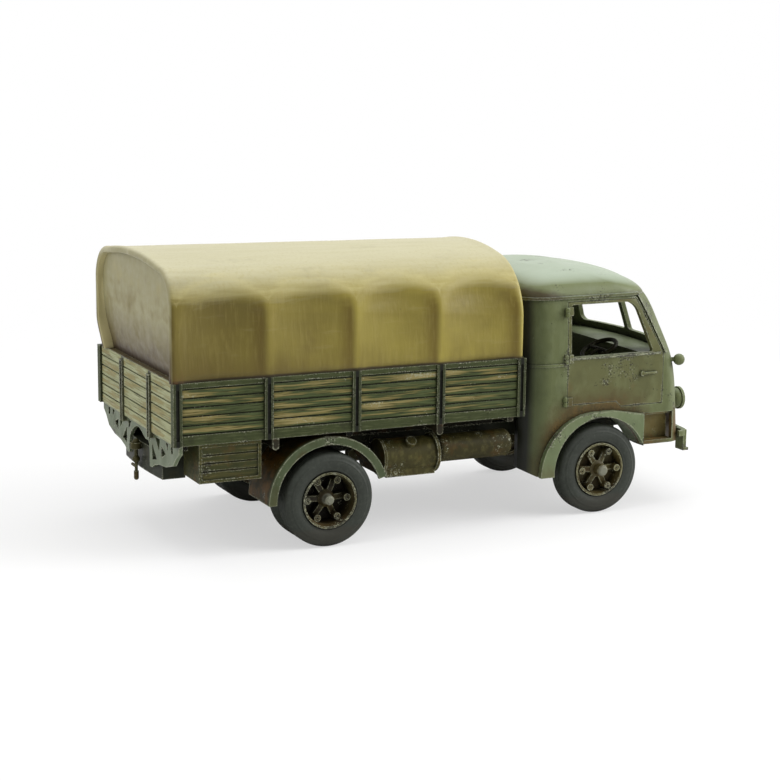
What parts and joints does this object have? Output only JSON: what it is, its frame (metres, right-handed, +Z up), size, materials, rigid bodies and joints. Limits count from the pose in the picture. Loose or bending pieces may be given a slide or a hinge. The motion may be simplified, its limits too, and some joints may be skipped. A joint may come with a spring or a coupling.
{
  "type": "miniature military cargo truck",
  "caption": "Painted scale miniature of a cab-over military cargo lorry with plank-sided bed, closed tilt cover and freely rolling wheels.",
  "frame": {"origin": "centre of the bounding box on the ground", "axes": "+X towards the cab, +Y to the lorry's left, +Z up"},
  "size_m": [0.1024, 0.0412, 0.0491],
  "materials": {
    "green_paint": "matte olive green paint",
    "dark_paint": "matte dark olive brown paint",
    "plank_paint": "matte green paint with tan worn streaks",
    "tailgate_paint": "matte beige green paint",
    "pale_paint": "matte pale grey green paint",
    "tilt_paint": "matte ochre paint on cast resin",
    "cab_trim_paint": "matte dark paint",
    "tyre_paint": "matte dark grey paint",
    "wheel_paint": "matte olive brown paint"
  },
  "bodies": {
    "lorry": {"chassis_frame": "dark_paint", "bed_bearers": "dark_paint", "bed_floor": "plank_paint", "bed_side_right": "plank_paint", "bed_side_left": "plank_paint", "headboard": "plank_paint", "tailgate": "tailgate_paint", "rear_cross_plate": "pale_paint", "tow_hook": "dark_paint", "tilt_cover": "tilt_paint", "cab_body": "green_paint", "cab_roof": "pale_paint", "door_right": "green_paint", "door_left": "green_paint", "cab_floor": "green_paint", "cab_seat": "cab_trim_paint", "dashboard": "green_paint", "steering_wheel": "cab_trim_paint", "front_fender_right": "green_paint", "front_fender_left": "green_paint", "cab_step_right": "green_paint", "cab_step_left": "green_paint", "headlamp_right": "green_paint", "headlamp_left": "green_paint", "marker_lamp_right": "green_paint", "marker_lamp_left": "green_paint", "grille": "green_paint", "bumper": "green_paint", "front_axle": "dark_paint", "rear_axle": "dark_paint", "front_spring_right": "dark_paint", "front_spring_left": "dark_paint", "rear_spring_right": "dark_paint", "rear_spring_left": "dark_paint", "drive_shaft": "dark_paint", "rear_mudguard_right": "green_paint", "rear_mudguard_left": "green_paint", "tool_box": "plank_paint", "fuel_tank": "dark_paint", "air_tank": "dark_paint"},
    "front_wheel_right": {"tyre_front_right": "tyre_paint", "wheel_front_right": "wheel_paint"},
    "rear_wheel_right": {"tyre_rear_outer_right": "tyre_paint", "tyre_rear_inner_right": "tyre_paint", "wheel_rear_right": "wheel_paint"},
    "front_wheel_left": {"tyre_front_left": "tyre_paint", "wheel_front_left": "wheel_paint"},
    "rear_wheel_left": {"tyre_rear_outer_left": "tyre_paint", "tyre_rear_inner_left": "tyre_paint", "wheel_rear_left": "wheel_paint"}
  },
  "joints": [
    {"name": "front_wheel_right_roll", "type": "hinge", "parent": "lorry", "child": "front_wheel_right", "pos_m": [0.03038, -0.0169, 0.0081], "axis": [0, 1, 0], "continuous": true},
    {"name": "rear_wheel_right_roll", "type": "hinge", "parent": "lorry", "child": "rear_wheel_right", "pos_m": [-0.02319, -0.0163, 0.0081], "axis": [0, 1, 0], "continuous": true},
    {"name": "front_wheel_left_roll", "type": "hinge", "parent": "lorry", "child": "front_wheel_left", "pos_m": [0.03038, 0.0169, 0.0081], "axis": [0, 1, 0], "continuous": true},
    {"name": "rear_wheel_left_roll", "type": "hinge", "parent": "lorry", "child": "rear_wheel_left", "pos_m": [-0.02319, 0.0163, 0.0081], "axis": [0, 1, 0], "continuous": true}
  ]
}
